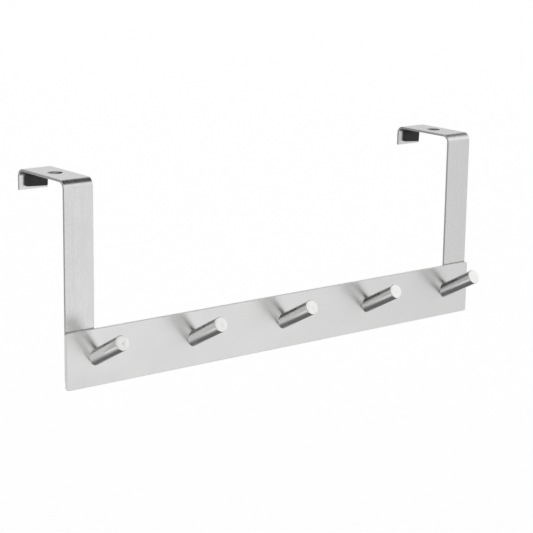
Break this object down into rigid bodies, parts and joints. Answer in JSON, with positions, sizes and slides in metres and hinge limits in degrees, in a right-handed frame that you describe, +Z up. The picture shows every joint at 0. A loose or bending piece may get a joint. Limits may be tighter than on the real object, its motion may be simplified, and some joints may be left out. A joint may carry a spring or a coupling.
{
  "type": "over door hook",
  "caption": "Brushed steel hook rail with slanting round pins, hung over a door's top edge by two bent flat straps with padded lips.",
  "frame": {"origin": "midway between the screw holes in the two strap tops, at the height of the door's top edge", "axes": "+X along the rail, -Y out of the door's face on the side with the pins, +Z up"},
  "size_m": [0.328, 0.083, 0.1255],
  "materials": {
    "rail_steel": "brushed lengthwise",
    "strap_steel": "brushed along the strap",
    "pin_steel": "fine turned, ends faced",
    "pad_foam": "matt closed-cell foam"
  },
  "bodies": {
    "root": {"rail": "rail_steel", "hook_pin_1": "pin_steel", "hook_pin_2": "pin_steel", "hook_pin_3": "pin_steel", "hook_pin_4": "pin_steel", "hook_pin_5": "pin_steel", "door_strap_left": "strap_steel", "door_strap_right": "strap_steel", "foam_pad_left": "pad_foam", "foam_pad_right": "pad_foam"}
  },
  "joints": []
}
